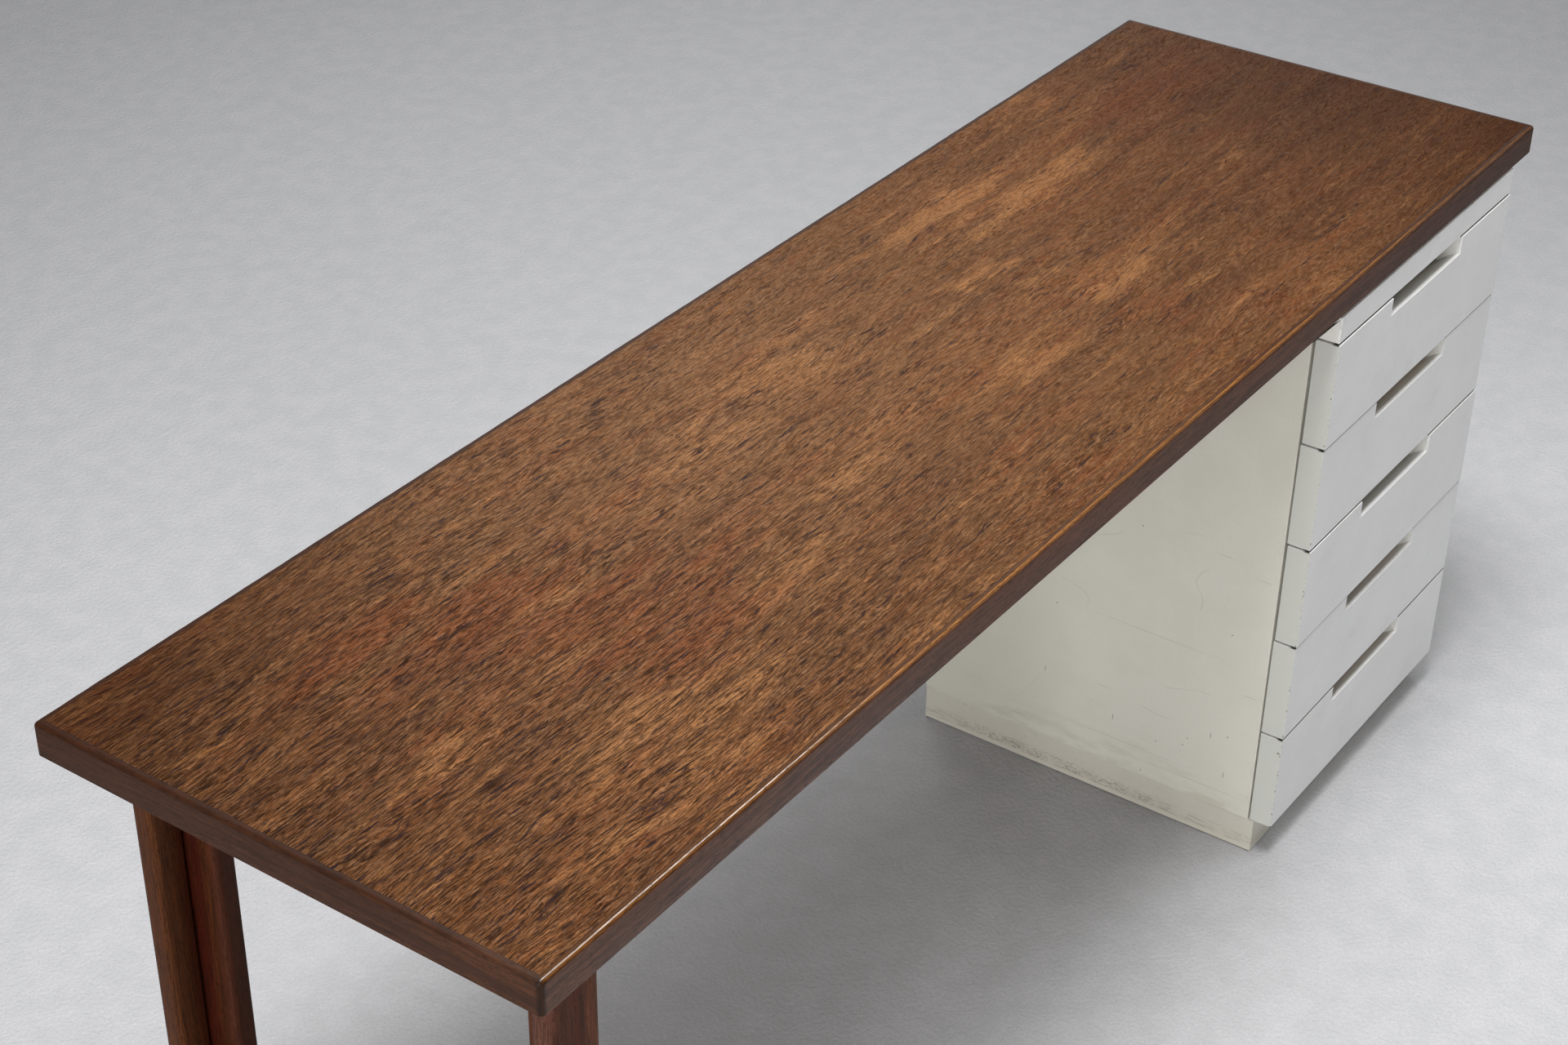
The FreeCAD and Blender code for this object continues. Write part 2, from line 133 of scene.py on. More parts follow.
def lipping(name, turn, half_side, reach, seed):
    """A mitred lipping. The profile has a top edge rolled on a quarter circle, a flat side and a small
    bevel below. It follows the straight side and an eighth of a circle at each end, up to the mitres;
    its inner edge is straight. Wear makes the roll wander a little in depth."""
    radius = top_edge_radius
    easing = np.radians(np.linspace(0, 45, 7))
    straight = np.linspace(radius - half_side, half_side - radius, int(half_side / lipping_step))
    s = np.concatenate([radius - half_side - radius * np.sin(easing[:0:-1]), straight,
                        half_side - radius + radius * np.sin(easing[1:])])
    outward = np.concatenate([-easing[:0:-1], np.zeros(len(straight)), easing[1:]])
    n = reach - radius + radius * np.cos(outward)

    roll = np.radians(np.linspace(0, 90, 9))
    depth = np.concatenate([radius * (1 - np.sin(roll)), [0, top_underside_bevel]])
    height = np.concatenate([desk_high.z - radius * (1 - np.cos(roll)),
                             [veneer_bottom + top_underside_bevel, veneer_bottom]])
    share_of_roll = np.concatenate([np.sin(2 * roll), [0, 0]])
    worn = top_edge_wear * (1 + wander(s, seed, (0.31, 0.083, 0.027)))
    depth = depth[None, :] + worn[:, None] * share_of_roll[None, :]
    heights = height[None, :] - worn[:, None] * share_of_roll[None, :]
    outer_s = s[:, None] - depth * np.sin(outward)[:, None]
    outer_n = n[:, None] - depth * np.cos(outward)[:, None]

    inner_s = np.clip(s, lipping_width - half_side, half_side - lipping_width)[:, None]
    inner_n = np.full_like(inner_s, reach - lipping_width)
    top = np.full_like(inner_s, desk_high.z)
    bottom = np.full_like(inner_s, veneer_bottom)
    all_s = np.concatenate([inner_s, outer_s, inner_s], 1)
    all_n = np.concatenate([inner_n, outer_n, inner_n], 1)
    all_z = np.concatenate([top, heights, bottom], 1)
    angle = math.radians(turn)
    x = all_n * math.cos(angle) - all_s * math.sin(angle)
    y = all_n * math.sin(angle) + all_s * math.cos(angle)
    return carried(name, np.stack([x, y, all_z], -1))


def outline(corners):
    """A level closed outline of right-angled corners (x, y, radius): a point where the radius is zero,
    and a quarter circle elsewhere."""
    points = []
    for i, (x, y, radius) in enumerate(corners):
        here = np.array([x, y])
        before = np.array(corners[i - 1][:2]) - here
        after = np.array(corners[(i + 1) % len(corners)][:2]) - here
        before, after = before / np.linalg.norm(before), after / np.linalg.norm(after)
        angle = np.radians(np.linspace(0, 90, 8 if radius else 1))[:, None]
        points.append(here + radius * (before * (1 - np.sin(angle)) + after * (1 - np.cos(angle))))
    return np.concatenate(points)


def leg_board(name, sharp_x, sharp_y, seed):
    """An upright board of a leg. Its outline has one sharp corner, in the joint of the angle, and
    three round ones. It is drawn in slightly at both ends, along a root curve, and its faces wander
    by a few hundredths of a mm."""
    low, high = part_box(name)
    radius = leg_edge_radius
    far_x, far_y = low.x + high.x - sharp_x, low.y + high.y - sharp_y
    ring = outline([(sharp_x, sharp_y, 0), (far_x, sharp_y, radius), (far_x, far_y, radius),
                    (sharp_x, far_y, radius)])
    middle = (ring.min(0) + ring.max(0)) / 2
    half = (ring.max(0) - ring.min(0)) / 2
    from_end = leg_end_easing * np.array([0, 0.3, 1])
    drawn_in = leg_end_easing - np.sqrt(leg_end_easing * from_end)
    between = np.linspace(low.z + leg_end_length, high.z - leg_end_length, 60)
    z = np.concatenate([low.z + from_end, between, high.z - from_end[::-1]])
    wandering = leg_face_wander * (1 + wander(between, seed, (0.23, 0.071)))
    inset = np.concatenate([drawn_in, wandering, drawn_in[::-1]])
    shrink = 1 - inset[:, None] / half[None, :]
    xy = middle + (ring - middle)[None] * shrink[:, None, :]
    sections = np.concatenate([xy, np.repeat(z[:, None, None], len(ring), 1)], -1)
    return carried(name + "_shaped", sections)


def front_board(name, easing, notched):
    """A lacquered front with all its edges eased. The profile across its thickness is carried along X.
    Between the ends of the notch, the top of the profile is a level lip, then an arc that turns down,
    then a straight fall to the back; the ends of the notch are flat walls."""
    low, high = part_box(name)
    lip = high.z - notch_depth
    bend_y = low.y + notch_lip_radius * math.sin(notch_slope)
    bend_z = lip - notch_lip_radius * (1 - math.cos(notch_slope))
    y = np.concatenate([[high.y, (high.y + bend_y) / 2],
                        low.y + notch_lip_radius * np.sin(np.linspace(notch_slope, 0, 8))])
    arc_y = np.minimum(y - low.y, bend_y - low.y)
    on_arc = lip - notch_lip_radius + np.sqrt(notch_lip_radius ** 2 - arc_y ** 2)
    fallen = np.where(y > bend_y, bend_z - (y - bend_y) * math.tan(notch_slope), on_arc)
    under = np.array([[low.y, lip], [low.y, low.z], [high.y, low.z], [high.y, fallen[0]]])
    plain = np.concatenate([np.stack([y, np.full_like(y, high.z)], -1), under])
    scooped = np.concatenate([np.stack([y, fallen], -1), under])
    middle = (low.x + high.x) / 2
    left, right = middle - notch_width / 2, middle + notch_width / 2
    stations = [(low.x, plain), (high.x, plain)]
    if notched:
        stations[1:1] = [(left, plain), (left, scooped), (right, scooped), (right, plain)]
    sections = np.stack([np.column_stack([np.full(len(ring), x), ring]) for x, ring in stations])
    piece = carried(name + "_shaped", sections)
    bevel = piece.modifiers.new("eased_edges", "BEVEL")
    bevel.width = easing
    bevel.segments = 4
    bevel.limit_method = "ANGLE"
    bevel.angle_limit = sharp_angle
    bevel.harden_normals = True
    return piece


# Materials: sizes and places in them are in mm, along the desk's x, y and z

def rgb(code):
    """An sRGB hex colour as linear red, green, blue and alpha."""
    levels = [int(code[i:i + 2], 16) / 255 for i in (1, 3, 5)]
    return [v / 12.92 if v <= 0.04045 else ((v + 0.055) / 1.055) ** 2.4 for v in levels] + [1.0]


def add(tree, kind, inputs=None, **settings):
    """Adds one node with its settings, and gives its inputs values or links."""
    node = tree.nodes.new("ShaderNode" + kind)
    for name, value in settings.items():
        setattr(node, name, value)
    for socket, value in (inputs or {}).items():
        if isinstance(value, bpy.types.Node):
            value = value.outputs[0]
        if isinstance(value, bpy.types.NodeSocket):
            tree.links.new(value, node.inputs[socket])
        else:
            node.inputs[socket].default_value = value
    return node


def cells(tree, place, size, shift, detail, roughness):
    """Noise whose cells have a size along x, y and z; the shift gives each pattern a place of its own."""
    scaled = add(tree, "Mapping", {"Vector": place, "Location": [shift] * 3,
                                   "Scale": [1 / (length * mm) for length in size]})
    return add(tree, "TexNoise", {"Vector": scaled, "Scale": 1.0, "Detail": detail,
                                  "Roughness": roughness})


def flecks(tree, place, size, low, high, detail=2.0, roughness=0.5, shift=0.0, gathered=None, pull=0.1):
    """A mask of flecks: noise cut between two levels. Where a second mask gathers them, the noise is
    raised by the pull, so that there are more flecks."""
    level = cells(tree, place, size, shift, detail, roughness)
    if gathered is not None:
        level = add(tree, "Math", {0: gathered, 1: pull, 2: level}, operation="MULTIPLY_ADD")
    return add(tree, "MapRange", {"Value": level, "From Min": low, "From Max": high},
               interpolation_type="SMOOTHSTEP").outputs[0]


def hairlines(tree, place, size, width, shift):
    """A mask of wandering hair-thin lines, where noise crosses its middle; the width is in the noise's
    own level."""
    noise = cells(tree, place, size, shift, 2.0, 0.4)
    off = add(tree, "Math", {0: noise, 1: 0.5}, operation="SUBTRACT")
    off = add(tree, "Math", {0: off}, operation="ABSOLUTE")
    return add(tree, "MapRange", {"Value": off, "From Min": width, "From Max": 0.0}).outputs[0]


def wavering(tree, place, size, reach, shift=0.0):
    """Places moved about by noise with cells of a size, by up to a reach along x, y and z."""
    noise = cells(tree, place, size, shift, 1.0, 0.5).outputs["Color"]
    centred = add(tree, "VectorMath", {0: noise, 1: (0.5, 0.5, 0.5)}, operation="SUBTRACT")
    return add(tree, "VectorMath", {0: centred, 1: [2 * length * mm for length in reach], 2: place},
               operation="MULTIPLY_ADD").outputs[0]


def patch(tree, place, centre, half_size, softness):
    """A mask that is 1 inside an ellipse about a centre and fades to 0 over its outer share."""
    scaled = add(tree, "Mapping", {"Vector": place, "Scale": [1 / (h * mm) for h in half_size],
                                   "Location": [-c / h for c, h in zip(centre, half_size)]})
    distance = add(tree, "VectorMath", {0: scaled}, operation="LENGTH").outputs["Value"]
    return add(tree, "MapRange", {"Value": distance, "From Min": 1.0, "From Max": 1.0 - softness},
               interpolation_type="SMOOTHSTEP").outputs[0]


def strongest(tree, masks):
    """The greatest of several masks at each place."""
    greatest = masks[0]
    for mask in masks[1:]:
        greatest = add(tree, "Math", {0: greatest, 1: mask}, operation="MAXIMUM").outputs[0]
    return greatest


def patches(tree, place, level, ellipses):
    """A mask of soft patches on the top: ellipses of (x, y, half length, half width) at a level."""
    return strongest(tree, [patch(tree, place, (x, y, level), (half_x, half_y, 100), 1.0)
                            for x, y, half_x, half_y in ellipses])


def spots(tree, place, centres, half_size, softness=0.6):
    """A mask of small spots of one size, at centres (x, y, z)."""
    return strongest(tree, [patch(tree, place, centre, half_size, softness) for centre in centres])


def band(tree, place, axis, start, full):
    """A mask that rises from 0 at one place along an axis of the desk to 1 at another."""
    along = add(tree, "SeparateXYZ", {0: place}).outputs["XYZ".index(axis)]
    return add(tree, "MapRange", {"Value": along, "From Min": start * mm, "From Max": full * mm},
               interpolation_type="SMOOTHSTEP").outputs[0]


def times(tree, *masks):
    """The product of masks."""
    product = masks[0]
    for mask in masks[1:]:
        product = add(tree, "Math", {0: product, 1: mask}, operation="MULTIPLY").outputs[0]
    return product


def painted(tree, base, layers):
    """A colour with further colours laid over it: layers of (mask, colour, strength)."""
    colour = rgb(base)
    for mask, code, strength in layers:
        cover = add(tree, "Math", {0: mask, 1: strength}, operation="MULTIPLY")
        colour = add(tree, "Mix", {0: cover, 6: colour, 7: rgb(code)}, data_type="RGBA").outputs[2]
    return colour


def finish(name):
    """A new material: its node tree, its shader and its object coordinates."""
    material = bpy.data.materials.new(name)
    material.use_nodes = True
    tree = material.node_tree
    shader = tree.nodes["Principled BSDF"]
    place = add(tree, "TexCoord").outputs["Object"]
    return material, tree, shader, place


def along_grain(tree, place, axis):
    """Places turned so that the grain, which runs along an axis of the desk, runs along x."""
    turns = {"X": (0, 0, 0), "Y": (0, 0, math.radians(-90)), "Z": (0, math.radians(90), 0)}
    return add(tree, "Mapping", {"Vector": place, "Rotation": turns[axis]}).outputs[0]


def teak_veneer():
    """Sliced teak veneer, oiled and aged: brown with fine dark pore lines along the grain, which is
    more open towards the left, cool dark dashes in clusters, golden flames, umber shadows and a few red
    stains. A painted sheen lightens the middle and left of the top, and painted shade darkens its ends.
    The worn finish leaves a low, broad sheen."""
    material, tree, shader, place = finish("teak_veneer")
    level = desk_high.z / mm

    # The figure's lines bend slowly, then in smaller and smaller waves
    waved = wavering(tree, place, (260, 60, 60), (0, 14, 0))
    waved = wavering(tree, waved, (80, 16, 60), (0, 3.4, 0), 3.0)
    waved = wavering(tree, waved, (18, 5, 60), (0, 1.0, 0), 5.0)
    torn = wavering(tree, waved, (45, 12, 60), (45, 12, 0), 7.0)

    # Where each tone gathers on this top
    golden = patches(tree, torn, level, (
        (85, -72, 150, 42), (-55, 100, 170, 55), (-220, 78, 120, 36), (195, 50, 90, 24),
        (300, 155, 180, 46), (450, 110, 170, 40), (255, -64, 110, 34), (-190, -50, 90, 24),
        (-560, -135, 190, 60), (-355, -105, 130, 40), (-620, -205, 170, 56), (-480, 40, 90, 20),
        (-700, -30, 130, 36)))
    red = patches(tree, torn, level, (
        (-640, 118, 140, 44), (-540, 70, 190, 70), (-500, 5, 170, 60), (-458, -50, 170, 60),
        (-448, -95, 150, 44), (690, 130, 200, 70)))
    umber = patches(tree, torn, level, (
        (-790, 90, 170, 120), (-690, 30, 160, 36), (-150, -125, 190, 40), (120, 10, 240, 40),
        (520, -60, 220, 60), (430, -150, 260, 60), (330, 40, 150, 26), (-330, 0, 170, 30)))
    open_grain = patches(tree, place, level, ((-800, 0, 1450, 1100),))
    # pale: a painted sheen, a lighter tan laid over the middle and left of the top where the light is
    # reflected
    pale = patches(tree, torn, level, ((-200, 90, 720, 560),))
    # Painted shade: the right end, the front right and the back left corner are laid darker, where the
    # light falls off
    painted_shade_at_ends = patches(tree, torn, level, (
        (1000, -40, 760, 640), (-900, 330, 460, 300), (860, -260, 540, 260)))
    scratch = patch(tree, waved, (-791, -205, level), (0.9, 7, 100), 0.3)

    # Real pores are about 0.3 mm wide; the finest here are drawn 0.7 to 1.1 mm wide, or they wouldn't show
    grain = times(tree, hairlines(tree, waved, (40, 2.4, 50), 0.07, 2.0),
                  flecks(tree, waved, (16, 3, 50), 0.44, 0.54, 2.0, 0.6, 33.0))
    fibres = flecks(tree, waved, (7, 1.1, 50), 0.48, 0.61, 3.0, 0.65)
    fine = flecks(tree, waved, (6, 0.7, 50), 0.52, 0.58, 2.0, 0.6, 61.0)
    pores = flecks(tree, waved, (18, 1.05, 50), 0.53, 0.57, 2.0, 0.6, 13.0)
    speckle = flecks(tree, waved, (2.6, 1.3, 50), 0.36, 0.64, 1.0, 0.5, 19.0)
    threads = flecks(tree, waved, (9, 1.3, 50), 0.44, 0.64, 3.0, 0.65, 7.0)
    clusters = flecks(tree, waved, (70, 12, 50), 0.50, 0.62, 3.0, 0.6, 11.0, open_grain, 0.11)
    dashes = flecks(tree, waved, (24, 2.0, 50), 0.56, 0.60, 4.0, 0.65, 17.0)

    # The broad figure
    flames = flecks(tree, waved, (140, 18, 50), 0.54, 0.68, 6.0, 0.75, 23.0, golden, 0.17)
    shadows = flecks(tree, waved, (150, 22, 50), 0.50, 0.66, 5.0, 0.65, 27.0, umber, 0.13)
    streaks = flecks(tree, waved, (90, 5, 50), 0.48, 0.66, 4.0, 0.65, 31.0)
    tone = flecks(tree, waved, (260, 70, 50), 0.38, 0.62, 4.0, 0.6, 41.0)
    redness = flecks(tree, waved, (110, 22, 50), 0.46, 0.84, 4.0, 0.6, 47.0, red, 0.3)

    colour = painted(tree, "#58391f", [
        (tone, "#674124", 0.8), (shadows, "#371b0b", 0.6), (flames, "#90623a", 0.78),
        (pale, "#8c6949", 0.36), (streaks, "#70421c", 0.35), (redness, "#6f3619", 0.5),
        (threads, "#8c6a4e", 0.36), (fibres, "#2a1403", 0.36), (fine, "#220d00", 0.4),
        (speckle, "#2a1408", 0.15), (grain, "#200c00", 0.35),
        (times(tree, grain, open_grain), "#180a02", 0.5),
        (times(tree, pores, open_grain), "#150802", 0.8), (pores, "#1e0b00", 0.16),
        (times(tree, dashes, clusters), "#191014", 0.8), (painted_shade_at_ends, "#220b02", 0.78),
        (scratch, "#1d110c", 0.5)])
    roughness = add(tree, "MapRange", {"Value": fibres, "To Min": 0.42, "To Max": 0.7})
    bump = add(tree, "Bump", {"Height": fibres, "Strength": 0.4, "Distance": 0.2 * mm}, invert=True)
    tree.links.new(colour, shader.inputs["Base Color"])
    tree.links.new(roughness.outputs[0], shader.inputs["Roughness"])
    tree.links.new(bump.outputs[0], shader.inputs["Normal"])
    shader.inputs["Specular IOR Level"].default_value = 0.04
    return material


def solid_teak(name, axis, base, shift, gloss, shine, features=(), dulled=None):
    """Solid teak, oiled: straight grain in fine lines with slow darker and lighter figure; its pores
    are drawn coarser than real ones, so that they show. A feature is a colour laid where its bands
    (axis, start, full) cross, and it is broken up by flecks of a size unless that is None. Over the
    dulled band, the polish wears off."""
    material, tree, shader, place = finish(name)
    grain = along_grain(tree, place, axis)
    waved = wavering(tree, grain, (300, 30, 30), (0, 7, 7), shift)
    waved = wavering(tree, waved, (40, 8, 8), (0, 0.8, 0.8), shift + 2)
    lines = flecks(tree, waved, (45, 1.1, 1.1), 0.44, 0.60, 3.0, 0.65, shift)
    pores = flecks(tree, waved, (7, 0.8, 0.8), 0.54, 0.62, 2.0, 0.6, shift + 5)
    figure = flecks(tree, waved, (300, 9, 9), 0.48, 0.62, 3.0, 0.6, shift + 9)
    glow = flecks(tree, waved, (260, 12, 12), 0.50, 0.68, 3.0, 0.5, shift + 13)
    layers = [(figure, "#22120a", 0.3), (glow, "#7a4a2a", 0.2)]
    for bands, size, code, strength in features:
        mask = times(tree, *[band(tree, place, *ends) for ends in bands])
        if size:
            mask = times(tree, mask, flecks(tree, place, size, 0.46, 0.62, 4.0, 0.65, shift + 17))
        layers.append((mask, code, strength))
    layers += [(lines, "#22120a", 0.55), (pores, "#180c06", 0.55)]
    tree.links.new(painted(tree, base, layers), shader.inputs["Base Color"])
    bump = add(tree, "Bump", {"Height": pores, "Strength": 0.2, "Distance": 0.2 * mm}, invert=True)
    tree.links.new(bump.outputs[0], shader.inputs["Normal"])
    shader.inputs["Roughness"].default_value = shine
    if dulled:
        wear = band(tree, place, *dulled)
        fading = add(tree, "MapRange", {"Value": wear, "To Min": shine, "To Max": 0.5})
        tree.links.new(fading.outputs[0], shader.inputs["Roughness"])
    shader.inputs["Specular IOR Level"].default_value = gloss
    return material


def lacquer(name, base, tint, roughness, marks):
    """Sprayed cellulose lacquer over board, aged: satin, faintly mottled and orange-peeled, with marks
    of use laid over it: marks gives layers (mask, colour, strength) from the tree and the places."""
    material, tree, shader, place = finish(name)
    mottle = flecks(tree, place, (70, 70, 70), 0.38, 0.64, 4.0, 0.6)
    fine = flecks(tree, place, (3, 3, 3), 0.4, 0.7, 2.0, 0.5)
    layers = [(mottle, tint, 0.4), (fine, tint, 0.25)] + marks(tree, place)
    tree.links.new(painted(tree, base, layers), shader.inputs["Base Color"])
    peel = add(tree, "Bump", {"Height": fine, "Strength": 0.06, "Distance": 0.2 * mm})
    tree.links.new(peel.outputs[0], shader.inputs["Normal"])
    shader.inputs["Roughness"].default_value = roughness
    return material


def marks_of_the_carcass(tree, place):
    """Dark specks, faint long scratches and hairlines on the sides, and a little grime low down. The
    tone is darker towards the back."""
    left = pedestal_left / mm

    def on_the_side(*places):
        return [(left, y, z) for y, z in places]

    rubbed = wavering(tree, place, (30, 30, 30), (0, 1.5, 1.5), 2.0)
    specks = spots(tree, rubbed, on_the_side(
        (-176, 275), (38, 232), (-185, 142), (-138, 119), (-133, 108), (-100, 99), (-85, 52),
        (-58, 370)), (6, 0.9, 1.4))
    ticks = spots(tree, rubbed, on_the_side((46, 138), (-165, 136), (-186, 90), (-44, 108)), (6, 0.8, 6))
    long_marks = spots(tree, rubbed, on_the_side((-85, 239), (-150, 66), (-60, 80)), (6, 120, 0.8), 0.9)
    short_marks = spots(tree, rubbed, on_the_side(
        (-205, 356), (-158, 370), (-205, 205), (-28, 145), (78, 61)), (6, 15, 0.8), 0.9)
    scuffed = flecks(tree, place, (90, 60, 120), 0.52, 0.64, 2.0, 0.5, 9.0)
    hairs = times(tree, hairlines(tree, place, (60, 240, 120), 0.0025, 4.0), scuffed)
    low = band(tree, place, "Z", 110, 40)
    grime = times(tree, low, flecks(tree, place, (60, 60, 14), 0.45, 0.65, 4.0, 0.6, 6.0))
    back = band(tree, place, "Y", -60, 230)
    return [(back, "#cbc8b8", 0.5), (grime, "#b9b29d", 0.4), (hairs, "#8e897c", 0.3),
            (long_marks, "#a09c8e", 0.4), (short_marks, "#8b8678", 0.4), (ticks, "#6d675b", 0.6),
            (specks, "#4b453c", 0.85)]


def marks_of_the_fronts(tree, place):
    """The left side faces are laid a darker cream tone. The notches are laid lighter inside, a painted
    light, and greyer towards their back, a painted shade; painted shade also darkens the gaps between
    the fronts. The left edges are rubbed and have small dark chips. Faint smudges and hairlines lie all
    over."""
    left, face = fronts_left / mm, fronts_face / mm
    # The left side faces are laid a darker cream tone
    cream = band(tree, place, "X", left + 1.4, left + 0.5)
    # Painted light: the strip's side face, in the shade of the top, is laid lighter
    painted_light_on_strip_side = times(tree, cream, band(tree, place, "Z", 652, 656))

    middle, half = (pedestal_left + pedestal_right) / 2 / mm, notch_width / 2 / mm
    # Painted light: the lip and slope of each notch are laid near-white, as if lit from the front
    inside = times(tree, band(tree, place, "X", middle - half - 0.5, middle - half),
                   band(tree, place, "X", middle + half + 0.5, middle + half),
                   band(tree, place, "Y", face + 0.4, face + 2.0))
    # Painted shade: the notch slope is laid greyer towards its back, where the front above shades it
    notch_painted_shade = times(tree, inside, band(tree, place, "Y", face + 8, face + 24))

    # Painted shade: the top edges of the fronts in the gaps between them are laid dark, as the gaps lie in
    # shade
    gaps = strongest(tree, [times(tree, band(tree, place, "Z", front_top / mm - 1.1, front_top / mm - 0.7),
                                  band(tree, place, "Z", front_top / mm + 3.0, front_top / mm + 2.2))
                            for front_top in front_tops])
    painted_shade_in_gaps = times(tree, gaps, band(tree, place, "Y", face + 0.15, face + 0.6),
                 band(tree, place, "Y", face + 9, face + 4))

    chips = spots(tree, place, [(left + 0.3, face + y, z) for y, z in (
        (0.4, 593), (0.6, 538), (0.3, 420), (0.5, 361), (0.2, 355), (0.3, 233), (0.4, 206),
        (0.5, 291), (0.3, 171), (0.8, 144), (0.4, 96), (0.6, 64), (0.3, 118))], (1.0, 0.9, 1.7))
    nicked = spots(tree, place, [(left + 0.4, face + 0.8, 46), (left + 0.2, face + 3, 147)],
                   (1.6, 2.4, 1.6))
    edge = times(tree, band(tree, place, "X", left + 1.6, left + 0.2),
                 band(tree, place, "Y", face + 2.0, face + 0.3),
                 flecks(tree, place, (3, 3, 5), 0.54, 0.60, 3.0, 0.7, 5.0))
    smudges = flecks(tree, place, (60, 50, 40), 0.50, 0.80, 3.0, 0.6, 21.0)
    hairs = times(tree, hairlines(tree, place, (60, 60, 40), 0.004, 8.0),
                  flecks(tree, place, (80, 80, 60), 0.54, 0.64, 2.0, 0.5, 12.0))
    return [(cream, "#cdcec5", 0.85), (painted_light_on_strip_side, "#f6f5ee", 0.9), (smudges, "#cbcbc9", 0.3),
            (hairs, "#a9a8a4", 0.2), (inside, "#f6f5f0", 1.0), (notch_painted_shade, "#9a968b", 0.6),
            (painted_shade_in_gaps, "#2b2926", 0.9), (edge, "#8f897c", 0.4), (chips, "#3d342b", 0.8),
            (nicked, "#4b4137", 0.8)]


def marks_of_the_plinth(tree, place):
    """Grime that gathers in specks and streaks just over the floor, a few kicks, and a lower edge that is
    laid lighter, as painted light from the floor, and dark at its foot."""
    near_floor = times(tree, band(tree, place, "Z", 24, 15), band(tree, place, "Z", 5, 9))
    grime = times(tree, near_floor, flecks(tree, place, (22, 22, 3), 0.45, 0.62, 5.0, 0.7, 4.0))
    specks = times(tree, near_floor, band(tree, place, "Y", -160, -60), band(tree, place, "Y", 190, 100),
                   flecks(tree, place, (5, 5, 2.2), 0.53, 0.60, 3.0, 0.7, 8.0))
    # Painted light: the lower edge is laid lighter, as if lit from the floor
    rubbed = band(tree, place, "Z", 8, 5)
    foot = band(tree, place, "Z", 1.6, 0.3)
    kicks = flecks(tree, place, (16, 16, 7), 0.64, 0.70, 3.0, 0.6, 15.0)
    return [(grime, "#a39b8a", 0.5), (specks, "#5d564a", 0.5), (rubbed, "#d8d2c4", 0.6),
            (kicks, "#a39a88", 0.3), (foot, "#4d463b", 0.7)]


def plain_wood(name, axis, base, dark, shift, features=()):
    """Sawn and sanded wood without a finish, or stained: matt, with fine grain lines and small pores,
    drawn coarser than real ones. A feature is a colour over a band (axis, start, full)."""
    material, tree, shader, place = finish(name)
    grain = along_grain(tree, place, axis)
    lines = flecks(tree, grain, (90, 1.5, 1.5), 0.42, 0.65, 3.0, 0.6, shift)
    pores = flecks(tree, grain, (4, 0.4, 0.4), 0.58, 0.68, 1.0, 0.5, shift + 3)
    layers = [(lines, dark, 0.4), (pores, dark, 0.5)]
    layers += [(band(tree, place, *ends), code, 1.0) for ends, code in features]
    tree.links.new(painted(tree, base, layers), shader.inputs["Base Color"])
    shader.inputs["Roughness"].default_value = 0.6
    return material


def zinc_steel():
    """Zinc-plated steel screws: bluish grey metal with slight cloudiness."""
    material, tree, shader, place = finish("zinc_steel")
    clouds = flecks(tree, place, (2, 2, 2), 0.4, 0.65)
    tree.links.new(painted(tree, "#9a9c9e", [(clouds, "#74777b", 0.6)]), shader.inputs["Base Color"])
    shader.inputs["Metallic"].default_value = 1.0
    shader.inputs["Roughness"].default_value = 0.35
    return material


def polythene():
    """Moulded dark polythene glides: nearly black, dull, scuffed grey."""
    material, tree, shader, place = finish("dark_polythene")
    scuffs = flecks(tree, place, (3, 3, 3), 0.5, 0.7)
    tree.links.new(painted(tree, "#1d1c1b", [(scuffs, "#4a4845", 0.5)]), shader.inputs["Base Color"])
    shader.inputs["Roughness"].default_value = 0.55
    return material


def paper_floor():
    """Matt studio paper: pale grey, faintly mottled, with a soft tooth that catches the side light. The
    tooth is drawn coarser than real paper's, as it looks in the photo. Far from the desk the paper
    goes over into the plain background, by a glow that only the camera sees."""
    material, tree, shader, place = finish("studio_paper")
    mottle = flecks(tree, place, (40, 40, 40), 0.35, 0.65, 4.0, 0.6)
    tooth = flecks(tree, place, (6, 6, 6), 0.3, 0.7, 2.0, 0.6, 3.0)
    grain = flecks(tree, place, (3, 3, 3), 0.35, 0.65, 2.0, 0.6, 7.0)
    colour = painted(tree, "#b7b7b9", [(mottle, "#abacad", 0.5), (grain, "#a5a5a9", 0.4)])
    tree.links.new(colour, shader.inputs["Base Color"])
    bump = add(tree, "Bump", {"Height": tooth, "Strength": 0.6, "Distance": 0.8 * mm})
    tree.links.new(bump.outputs[0], shader.inputs["Normal"])
    distance = add(tree, "VectorMath", {0: place}, operation="LENGTH").outputs["Value"]
    far = add(tree, "MapRange", {"Value": distance, "From Min": 2.9, "From Max": 8.0}).outputs[0]
    seen = times(tree, far, add(tree, "LightPath").outputs["Is Camera Ray"])
    glow = painted(tree, "#000000", [(seen, background, 1.0)])
    tree.links.new(glow, shader.inputs["Emission Color"])
    shader.inputs["Emission Strength"].default_value = 1.0
    shader.inputs["Roughness"].default_value = 0.9
    shader.inputs["Specular IOR Level"].default_value = 0.2
    return material


def coat(piece, material):
    """Gives a piece one material all over."""
    piece.data.materials.clear()
    piece.data.materials.append(material)


